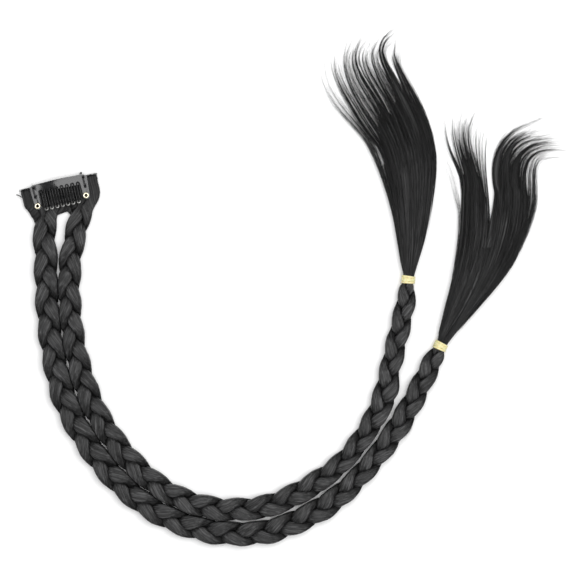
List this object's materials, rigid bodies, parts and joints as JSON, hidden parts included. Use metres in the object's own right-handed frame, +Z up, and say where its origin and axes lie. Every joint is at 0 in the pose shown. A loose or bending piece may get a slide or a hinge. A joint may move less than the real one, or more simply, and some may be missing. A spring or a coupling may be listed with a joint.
{
  "type": "clip-in braided hair extension",
  "caption": "Snap comb clip sewn on a flat hair weft that carries plaited braids laid in a U, each tied with a wound elastic band and ending in a loose tail of hair.",
  "frame": {"origin": "on the surface that the piece lies on, under the middle of the weft's flat underside", "axes": "+Z up from the surface, +Y towards the upper edge of the weft and the tips of the tails, +X from the clip across the U to the tails"},
  "size_m": [0.3413, 0.3242, 0.0095],
  "materials": {
    "braid_hair": "black hair fibre with a soft lengthwise sheen",
    "tail_hair": "loose black hair fibre",
    "weft_hair": "black hair fibre, folded and machine sewn",
    "clip_paint": "gloss black",
    "eyelet_brass": "polished",
    "band_rubber": "pale yellow, satin"
  },
  "bodies": {
    "hair_piece": {"weft": "weft_hair", "clip_frame": "clip_paint", "eyelet_left": "eyelet_brass", "eyelet_right": "eyelet_brass", "outer_strand_1": "braid_hair", "outer_strand_2": "braid_hair", "outer_strand_3": "braid_hair", "inner_strand_1": "braid_hair", "inner_strand_2": "braid_hair", "inner_strand_3": "braid_hair", "outer_band": "band_rubber", "inner_band": "band_rubber", "outer_tail": "tail_hair", "inner_tail": "tail_hair"},
    "comb": {"clip_comb": "clip_paint"}
  },
  "joints": [
    {"name": "clip_snap", "type": "hinge", "parent": "hair_piece", "child": "comb", "pos_m": [0.00212, -0.00957, 0.0063], "axis": [0.9763, 0.2164, 0], "range_deg": [0, 30]}
  ]
}
